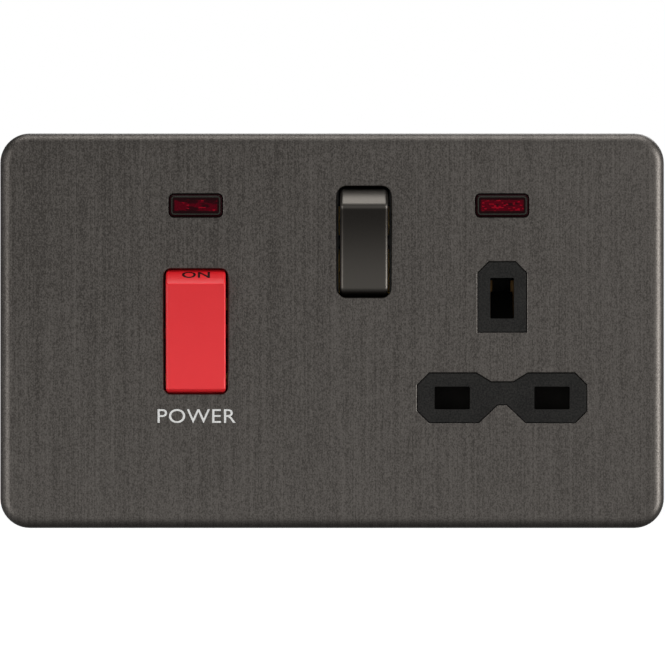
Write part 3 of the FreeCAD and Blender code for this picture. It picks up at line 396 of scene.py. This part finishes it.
clamp_grid = screw_grid(clamp_head, clamp_rings, straight_slot, clamp_neck, clamp_thread)
clamp_points, clamp_faces = closed_lathe(*clamp_grid)
clamp_shapes = []

# The record gives each cable bore's mouth, axis, radius and length. The two screws stand at equal
# distances from the middle of that length, and their tips stop just short of the bore.
for mount in frame["record"]["mounts"]:
    if mount["kind"] == "bore":
        x, y, mouth = mount["pos_m"]
        way = mount["axis"][2]
        back = y + mount["dims"]["r_mm"] * mm + clamp_lift + clamp_length
        middle = mouth - way * mount["dims"]["length_mm"] * mm / 2
        for side in (-1, 1):
            place = (x, back, middle + side * clamp_spacing / 2)
            clamp_shapes.append((facing_back(clamp_points, place), clamp_faces))
clamp_screws = piece_of("clamp_screws", zinc, clamp_shapes)
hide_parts("terminal_screws")


# Behind each lens lies a clear glass lamp with two tinned leads, and one lead has a resistor of
# lacquered ceramic. The leads are soldered to the strips behind.
glass = Finish("lamp_glass", linear(232, 214, 204), 0.08, Specular_IOR_Level=0.6)
glass_haze = glass.noise(glass.place, 700.0, 2.0)
glass.put("Roughness", glass_haze * 0.08 + 0.05)
glass.cover("cooker_neon_lamp", "outlet_neon_lamp")
tinned = Finish("tinned_wire", linear(190, 188, 184), 0.3, metallic=1.0)
dip_marks = tinned.noise(tinned.place, 1500.0, 3.0)
tinned.put("Roughness", dip_marks * 0.25 + 0.2)
tinned.cover("cooker_neon_leads", "outlet_neon_leads")
lacquer = Finish("resistor_body", linear(196, 168, 120), 0.4)
lacquer_pool = lacquer.noise(lacquer.place, 1200.0, 2.0)
lacquer.put("Base Color", lacquer.mixed(lacquer_pool, linear(182, 152, 104), linear(206, 180, 134)))
lacquer.cover("cooker_neon_resistor", "outlet_neon_resistor")


# Four see-saw arms of rolled copper alloy carry the current in the two switches. Nylon plungers
# on fine springs press them over. Every spring here is drawn steel wire.
copper = Finish("copper_alloy", linear(206, 140, 104), 0.3, metallic=1.0)
rolled = copper.noise(copper.stretched(2400.0, 400.0, 120.0), 1.0, 3.0)
copper.put("Base Color", copper.mixed(rolled, linear(190, 122, 88), linear(220, 158, 122)))
copper.put("Roughness", rolled * 0.2 + 0.22)
copper.cover(*named("_arm_"))
nylon = Finish("nylon", linear(226, 223, 212), 0.5)
nylon_clouds = nylon.noise(nylon.place, 900.0, 2.0)
nylon.put("Base Color", nylon.mixed(nylon_clouds, linear(218, 214, 200), linear(232, 229, 220)))
nylon.cover(*named("plunger_live", "plunger_neutral"))
spring_steel = Finish("spring_steel", linear(168, 168, 166), 0.28, metallic=1.0)
drawn = spring_steel.noise(spring_steel.place, 3000.0, 2.0)
spring_steel.put("Roughness", drawn * 0.2 + 0.18)
spring_steel.cover(*named("spring"))


# The shutter's return spring is a plain compression coil. It stands on the frame's shelf behind
# the insert. On the real unit it shortens as a plug's pin pushes the shutter down; here it keeps
# one length.
spring_low, spring_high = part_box("shutter_spring")
wire_radius = 0.2 * mm
coil_radius = (spring_high.x - spring_low.x) / 2 - wire_radius
coil_turns = 5
coil_top_gap = 0.1 * mm
coil_steps = 200
wire_corners = 12


def coil_shape(middle_x, middle_y, low, high):
    """A round wire wound about a line along Z, with a flat cap at each end.

    The wire's middle turns about the line and rises evenly with the angle. Each ring of corners
    lies in the plane of the line and the wire's middle.
    """
    share = np.linspace(0.0, 1.0, coil_steps)[:, None]
    turn = 2 * math.pi * coil_turns * share
    around = np.linspace(0.0, 2 * math.pi, wire_corners, endpoint=False)[None, :]
    out = coil_radius + wire_radius * np.cos(around)
    up = low + wire_radius + (high - low - 2 * wire_radius) * share + wire_radius * np.sin(around)
    points = np.stack([middle_x + out * np.cos(turn), middle_y + out * np.sin(turn), up], axis=-1)
    here = np.arange(wire_corners)
    after = (here + 1) % wire_corners
    start = wire_corners * np.arange(coil_steps - 1)[:, None]
    sides = np.stack([start + here, start + wire_corners + here, start + wire_corners + after,
                      start + after], axis=-1).reshape(-1, 4)
    last = wire_corners * (coil_steps - 1)
    caps = [here.tolist(), (last + here[::-1]).tolist()]
    return points.reshape(-1, 3), sides.tolist() + caps


spring_x = (spring_low.x + spring_high.x) / 2
spring_y = (spring_low.y + spring_high.y) / 2
return_spring = piece_of("return_spring", spring_steel, [
    coil_shape(spring_x, spring_y, spring_low.z, spring_high.z - coil_top_gap)])
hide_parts("shutter_spring")
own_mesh(return_spring)


# The rear housing is a deep black box with a bay for each terminal, moulded with a coarser spark
# eroded face that scatters light. The liner is a thin black sheet behind the plate.
housing_black = Finish("housing_black", linear(34, 33, 32), 0.6, Specular_IOR_Level=0.35)
erosion = housing_black.noise(housing_black.place, 2600.0, 3.0, 0.65)
flow = housing_black.noise(housing_black.stretched(40.0, 40.0, 160.0), 1.0, 3.0)
housing_black.put("Base Color", housing_black.mixed(
    erosion * 0.5 + flow * 0.5, linear(24, 24, 23), linear(46, 45, 43)))
housing_black.put("Roughness", erosion * 0.2 + 0.48)
housing_black.bumped(erosion, 0.05 * mm, 0.6)
housing_black.cover("rear_housing", "plate_liner")

# Five pan-head screws hold the housing. They are zinc plated steel with cross recesses, driven
# from behind into the frame's pillars. Their places are in millimetres, across and up.
case_screw_places = [(-47.5, -0.15), (-6.0, 24.5), (-6.0, -24.5), (52.0, 25.5), (52.0, 2.0)]
case_screw_back = 5.4 * mm
case_head = (2.1 * mm, 1.4 * mm, 0.7 * mm)
case_neck = (0.95 * mm, 1.6 * mm)
case_thread = (1.25 * mm, 0.9 * mm, 1.0 * mm, 7.4 * mm)
case_rings = 20
cross_width = 0.55 * mm
cross_reach = 1.15 * mm
cross_depth = 0.8 * mm
cross_slope = 0.5


def cross_recess(x, z):
    """Depth of a cross recess: two bars that meet in the middle, shallower towards their ends.

    The depth falls with the distance from the middle, by the slope's share at the bars' ends.
    """
    along_x = soft_inside(z, cross_width / 2) * soft_inside(x, cross_reach)
    along_z = soft_inside(x, cross_width / 2) * soft_inside(z, cross_reach)
    slope = 1.0 - cross_slope * np.hypot(x, z) / cross_reach
    return cross_depth * np.maximum(along_x, along_z) * np.clip(slope, 0.0, 1.0)


case_grid = screw_grid(case_head, case_rings, cross_recess, case_neck, case_thread)
case_points, case_faces = closed_lathe(*case_grid)
case_screws = piece_of("case_screws", zinc, [
    (facing_back(case_points, (x * mm, case_screw_back, z * mm)), case_faces)
    for x, z in case_screw_places])
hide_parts("housing_screws")


# The cooker rocker is a hollow red moulding with a crisp crease below its round nose. It tips on
# two stub axles, and its gloss is broken by a very fine orange-peel.
red = Finish("red_rocker", linear(214, 45, 50), 0.34, Specular_IOR_Level=0.4)
red_grain = red.noise(red.place, 4200.0, 2.0, 0.6)
red_cloud = red.noise(red.place, 300.0, 2.0)
red_low, red_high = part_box("cooker_rocker")
red_height = red.node("ShaderNodeSeparateXYZ", {}, red.place, output="Z")
# The rocker is painted lighter towards the bottom: a painted sheen standing in for light mirrored
# on its face.
painted_lower_sheen = 1.0 - red_height.above((red_low.z + red_high.z) / 2, (red_high.z - red_low.z) / 2)
red.put("Base Color", red.mixed(red_grain * 0.3 + red_cloud * 0.2 + painted_lower_sheen * 0.5,
                                linear(204, 16, 26), linear(220, 43, 48)))
red.put("Roughness", red_grain * 0.1 + 0.3)
red.bumped(red_grain, 0.008 * mm, 0.4)
red.cover("cooker_rocker")

# The word ON is printed on the red nose in a thin film of satin black ink, which curves round it
# and goes in with it when the rocker tips.
ink_black = Finish("black_ink", linear(12, 8, 8), 0.5, Specular_IOR_Level=0.1)
ink_grain = ink_black.noise(ink_black.place, 6000.0, 2.0)
ink_black.put("Roughness", ink_grain * 0.2 + 0.4)
on_width = 6.2 * mm
on_height = 2.65 * mm
on_shift = 0.05 * mm
on_spacing = 1.05
on_boldness = 0.016
on_foot_angle = math.radians(35.5)
nose_half_length = 13.7 * mm
nose_stand = 4.3 * mm
nose_step = 0.25 * mm
print_thickness = 0.02 * mm
print_gap = 0.004 * mm


def letters(word, width, height, thickness, spacing, boldness):
    """A word as a flat mesh: plain sans letters centred in x, their feet on y = 0, facing +z.

    The letters are made in any size, and scaled in x, y and z to the width, height and thickness.
    """
    data = bpy.data.curves.new(word, "FONT")
    data.body = word
    data.align_x = "CENTER"
    data.extrude = 0.01
    data.space_character = spacing
    data.offset = boldness
    data.resolution_u = 6
    writing = bpy.data.objects.new(word, data)
    bpy.context.scene.collection.objects.link(writing)
    ready = writing.evaluated_get(bpy.context.evaluated_depsgraph_get())
    mesh = bpy.data.meshes.new_from_object(ready)
    bpy.data.objects.remove(writing)
    bpy.data.curves.remove(data)
    points = mesh_points(mesh)
    low, high = points.min(axis=0), points.max(axis=0)
    scale = np.array([width, height, thickness]) / (high - low)
    middle = np.array([(low[0] + high[0]) / 2, low[1], low[2]])
    place_points(mesh, (points - middle) * scale)
    return mesh


def mesh_points(mesh):
    """All the points of a mesh as one array."""
    points = np.empty(len(mesh.vertices) * 3)
    mesh.vertices.foreach_get("co", points)
    return points.reshape(-1, 3)


def place_points(mesh, points):
    """Puts an array of points back into a mesh."""
    mesh.vertices.foreach_set("co", points.ravel())
    mesh.update()


def printed(name, mesh, finish, body):
    """A piece from a printed word's mesh."""
    mesh.materials.clear()
    mesh.materials.append(finish.material)
    piece = bpy.data.objects.new(name, mesh)
    bpy.context.scene.collection.objects.link(piece)
    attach(piece, body)
    return piece


joints = {joint["name"]: joint for joint in frame["record"]["behaviour"]["joints"]}
pivot = joints["cooker_rocker_tilt"]["pos_m"]
nose_radius = math.hypot(nose_half_length, pivot[1] + nose_stand)
on_mesh = letters("ON", on_width, on_height, print_thickness, on_spacing, on_boldness)

# The flat letters are cut into low rows, so that they can bend. Then a point's height on the word
# becomes an angle round the axle, which is the height over the nose's radius.
cut = bmesh.new()
cut.from_mesh(on_mesh)
for row in range(1, int(on_height / nose_step) + 1):
    bmesh.ops.bisect_plane(cut, geom=cut.verts[:] + cut.edges[:] + cut.faces[:], dist=1e-8,
                           plane_co=(0.0, row * nose_step, 0.0), plane_no=(0.0, 1.0, 0.0))
cut.to_mesh(on_mesh)
cut.free()
flat = mesh_points(on_mesh)
turn = on_foot_angle - flat[:, 1] / nose_radius
rise = nose_radius + print_gap + flat[:, 2]
place_points(on_mesh, np.stack([pivot[0] + on_shift + flat[:, 0], pivot[1] - rise * np.sin(turn),
                                pivot[2] + rise * np.cos(turn)], axis=-1))
printed("on_word", on_mesh, ink_black, "cooker_rocker")


# The outlet rocker is a softer-edged moulding with a dark metallic coat that matches the plate. Its
# upper face is painted darker as painted shade, and its nose above the crease is painted lighter as
# a painted highlight. It tips on two stub axles, as the red one does.
painted_shade_height = 17.5 * mm
painted_shade_fade = 9.5 * mm
painted_highlight_height = 27.3 * mm
painted_highlight_fade = 0.35 * mm
smoked = Finish("smoked_rocker", linear(84, 80, 75), 0.36, metallic=1.0)
smoked_grain = smoked.noise(smoked.place, 3800.0, 2.0, 0.6)
smoked_height = smoked.node("ShaderNodeSeparateXYZ", {}, smoked.place, output="Z")
# Painted shade darkens the face above its height, and a painted highlight lights the nose above the
# crease.
painted_shade_upper = smoked_height.above(painted_shade_height, painted_shade_fade)
painted_nose_highlight = smoked_height.above(painted_highlight_height, painted_highlight_fade)
painted_light_and_grain = (1.0 - painted_shade_upper).at_least(painted_nose_highlight) * 0.85 + smoked_grain * 0.15
smoked.put("Base Color", smoked.mixed(painted_light_and_grain, linear(32, 30, 28), linear(76, 73, 69)))
smoked.put("Roughness", smoked_grain * 0.1 + 0.3)
smoked.bumped(smoked_grain, 0.008 * mm, 0.4)
smoked.cover("outlet_rocker")


# Each neon lens is a clear moulded cap, tinted so deep a red that it looks nearly black unlit.
# Small prisms inside it break its middle into short dark and bright dashes.
lens_half_width = 5.88 * mm
lens_half_height = 2.48 * mm
lens_corner = 1.1 * mm
rim_glint_inset = 0.66 * mm
rim_glint_width = 0.22 * mm
rim_glint_edge = 0.06 * mm
prisms_half_width = 4.75 * mm
prisms_half_height = 1.2 * mm
prisms_edge = 0.15 * mm
dim_level = 0.74


def lens_finish(name, node, share):
    """Deep red with dashes on a grid, a dark border and a thin grey ring of painted highlight.

    The share is how much of the middle is bright. The ring is a painted highlight where a bevelled
    front edge would catch light. It follows a rounded rectangle: past the corners' centres, its
    distance is the root of the two sides squared, less the corner's radius.
    """
    low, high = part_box(node)
    made = Finish(name, linear(60, 4, 12), 0.12, Specular_IOR_Level=0.03)
    across = made.node("ShaderNodeSeparateXYZ", {}, made.place, output="X")
    upward = across.output("Z")
    side = abs(across - (low.x + high.x) / 2)
    height = abs(upward - (low.z + high.z) / 2)
    border = side.above(prisms_half_width, prisms_edge).at_least(
        height.above(prisms_half_height, prisms_edge))
    past_side = (side - (lens_half_width - lens_corner)).at_least(0.0)
    past_height = (height - (lens_half_height - lens_corner)).at_least(0.0)
    square = past_side * past_side + past_height * past_height
    inward = made.node("ShaderNodeMath", {"operation": "SQRT"}, square) - lens_corner
    # The grey ring is a painted highlight, standing in for light on the lens's bevelled front edge.
    painted_rim_glint = (inward.above(-rim_glint_inset, rim_glint_edge)
            - inward.above(rim_glint_width - rim_glint_inset, rim_glint_edge))
    dashes = made.node("ShaderNodeTexVoronoi", {"distance": "CHEBYCHEV"},
                       made.stretched(1900.0, 10.0, 3900.0), 1.0, None, None, None, 0.0,
                       output="Color")
    bands = made.noise(made.stretched(150.0, 10.0, 800.0), 1.0, 2.0)
    pools = made.noise(made.stretched(240.0, 10.0, 560.0), 1.0, 2.0)
    tone = made.node("ShaderNodeSeparateColor", {}, dashes)
    bright = (tone * 0.55 + bands * 0.45).above(1.0 - share, 0.01)
    dim = pools.above(dim_level - share, 0.03)
    deep = made.mixed(dim, linear(36, 4, 9), linear(70, 1, 13))
    middle = made.mixed(bright, deep, linear(120, 6, 23))
    rimmed = made.mixed(border, middle, linear(24, 6, 8))
    made.put("Base Color", made.mixed(painted_rim_glint, rimmed, linear(44, 48, 43)))
    made.put("Roughness", bands * 0.08 + 0.1)
    made.cover(node)


lens_finish("red_lens_left", "cooker_neon_lens", 0.26)
lens_finish("red_lens_right", "outlet_neon_lens", 0.31)


# Two machine screws hold the frame to the wall box. They are long, with low round heads that the
# plate hides, and their threads run on behind the wall.
box_screw_pitch = 120.6 * mm
box_screw_front = -3.3 * mm
box_head = (3.3 * mm, 1.7 * mm, 0.75 * mm)
box_neck = (1.5 * mm, 3.4 * mm)
box_thread = (1.75 * mm, 1.42 * mm, 0.6 * mm, 35.3 * mm)
box_rings = 24
box_grid = screw_grid(box_head, box_rings, cross_recess, box_neck, box_thread)
box_points, box_faces = closed_lathe(*box_grid)
box_screws = piece_of("wall_box_screws", zinc, [
    (box_points + np.array([side * box_screw_pitch / 2, box_screw_front, 0.0]), box_faces)
    for side in (-1, 1)])
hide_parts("box_screws")


# The front plate is one pressed sheet, plated a smoked grey-brown and brushed from top to bottom.
# The brush leaves fine upright streaks of many lengths, with a few brighter ones.
plate = Finish("smoked_plate", linear(75, 71, 68), 0.42, metallic=1.0)
fine_brush = plate.noise(plate.stretched(5200.0, 300.0, 320.0), 1.0, 3.0, 0.6)
long_brush = plate.noise(plate.stretched(2600.0, 60.0, 16.0), 1.0, 1.0, 0.6)
grain = plate.noise(plate.stretched(3900.0, 3900.0, 3000.0), 1.0, 1.0, 0.5)
clouds = plate.noise(plate.stretched(300.0, 100.0, 90.0), 1.0, 2.0)
scratches = plate.noise(plate.stretched(2000.0, 40.0, 9.0), 1.0, 1.0).above(0.62, 0.06)
streaks = grain * 0.54 + fine_brush * 0.24 + long_brush * 0.16 + clouds * 0.06

# The colour is painted lighter from left to right and darker towards the top at the left, as
# painted light and shade over the plating's own colour.
painted_light_change = 0.09
spot = plate.node("ShaderNodeSeparateXYZ", {}, plate.place, output="X")
across = spot * (1.0 / plate_high.x)
upward = spot.output("Z") * (1.0 / plate_high.z)
# This tone is painted light and shade, added to the brushed streaks and scratches.
tone = across * painted_light_change - upward * (1.0 - across) * painted_light_change
plate.put("Base Color", plate.mixed(
    streaks.above(0.5, 0.19) + tone + scratches * 0.13, linear(60, 57, 54), linear(97, 93, 89)))
plate.put("Roughness", fine_brush * 0.14 + 0.38)
plate.bumped(fine_brush * 0.6 + grain * 0.4, 0.012 * mm, 0.6)
plate.cover("front_plate")

# A generic word is printed on the plate in a thin film of white ink, centred below the cooker
# rocker.
ink_white = Finish("white_ink", linear(208, 208, 206), 0.55)
white_grain = ink_white.noise(ink_white.place, 3200.0, 3.0, 0.6)
ink_white.put("Base Color", ink_white.mixed(
    white_grain, linear(196, 196, 194), linear(216, 216, 214)))
word_width = 17.4 * mm
word_height = 3.1 * mm
word_middle = -30.17 * mm
word_foot = -20.55 * mm
word_spacing = 1.06
word_mesh = letters("POWER", word_width, word_height, print_thickness, word_spacing, 0.0)
flat = mesh_points(word_mesh)
place_points(word_mesh, np.stack([word_middle + flat[:, 0], plate_low.y - print_gap - flat[:, 2],
                                  word_foot + flat[:, 1]], axis=-1))
printed("plate_word", word_mesh, ink_white, "root")


# The stage is a plain pale floor under the unit. Its own light, which only the camera sees, lifts
# it to white and leaves the unit's shadow on it.
floor_half = 3.0
floor_level = cad_low.z - 30 * mm
floor_glow = 0.7
floor_corners = [(x * floor_half, y * floor_half, floor_level)
                 for x, y in ((-1, -1), (1, -1), (1, 1), (-1, 1))]
floor_mesh = bpy.data.meshes.new("floor")
floor_mesh.from_pydata(floor_corners, [], [(0, 1, 2, 3)])
floor = bpy.data.objects.new("floor", floor_mesh)
bpy.context.scene.collection.objects.link(floor)
pale = Finish("pale_floor", (0.82, 0.82, 0.82), 0.7, Emission_Strength=floor_glow)
to_camera = pale.node("ShaderNodeLightPath", {}, output="Is Camera Ray")
pale.put("Emission Color", pale.mixed(to_camera, (0.0, 0.0, 0.0), (1.0, 1.0, 1.0)))
floor_mesh.materials.append(pale.material)
floor.visible_glossy = False


# Three long soft boxes stand round the unit: overhead, to the right and to the left, where the
# plate's rolled edges mirror them. One behind lights the back for other views.
def soft_box(name, place, width, height, brightness):
    """A rectangular lamp aimed at the unit; a brightness of 1 looks as bright as white paper."""
    data = bpy.data.lights.new(name, "AREA")
    data.shape = "RECTANGLE"
    data.size = width
    data.size_y = height
    data.energy = brightness * math.pi * width * height
    lamp = bpy.data.objects.new(name, data)
    lamp.location = place
    lamp.rotation_euler = (-Vector(place)).to_track_quat("-Z", "Y").to_euler()
    bpy.context.scene.collection.objects.link(lamp)


soft_box("top_box", (0.0, -0.04, 1.2), 1.4, 0.46, 4.6)
soft_box("right_box", (1.12, -0.41, 0.0), 0.55, 1.2, 8.4)
soft_box("left_box", (-0.95, -0.73, 0.0), 0.6, 1.2, 3.0)
soft_box("back_box", (0.3, 1.1, 0.7), 0.9, 0.9, 2.6)

# The room is white to the camera. To the unit it is even in front, and dark on the ground and
# behind, as a wall there would be. A dimmer gap lies below the overhead box. Metal and glass mirror
# it nearly as bright as the camera sees it.
# The edges of its parts are heights and depths of a ray's direction, which is 1 long.
room_light = 0.52
mirror_light = 0.9
ground_light = 0.3
wall_light = 0.3
gap_light = 0.5
room = bpy.data.worlds.new("studio")
bpy.context.scene.world = room
room.use_nodes = True
studio = Shading(room.node_tree)
background = room.node_tree.nodes["Background"]
rays = studio.node("ShaderNodeLightPath", {}, output="Is Camera Ray")
mirrored = rays.output("Is Glossy Ray").at_least(rays.output("Is Transmission Ray"))
direction = studio.node("ShaderNodeTexCoord", {}, output="Generated")
backward = studio.node("ShaderNodeSeparateXYZ", {}, direction, output="Y")
upward = backward.output("Z")
ground = upward.above(-0.74, 0.22) * (1.0 - ground_light) + ground_light
behind = 1.0 - backward.above(0.2, 0.3) * (1.0 - wall_light)
gap = upward.above(0.45, 0.12) * (1.0 - upward.above(0.8, 0.12))
dimmed = 1.0 - gap * (1.0 - gap_light)
level = mirrored * (mirror_light - room_light) + room_light
seen_by_unit = ground * behind * dimmed * level
studio.join(background.inputs["Strength"], rays + (1.0 - rays) * seen_by_unit)
background.inputs["Color"].default_value = (1.0, 1.0, 1.0, 1.0)
bpy.context.scene.view_settings.view_transform = "Standard"
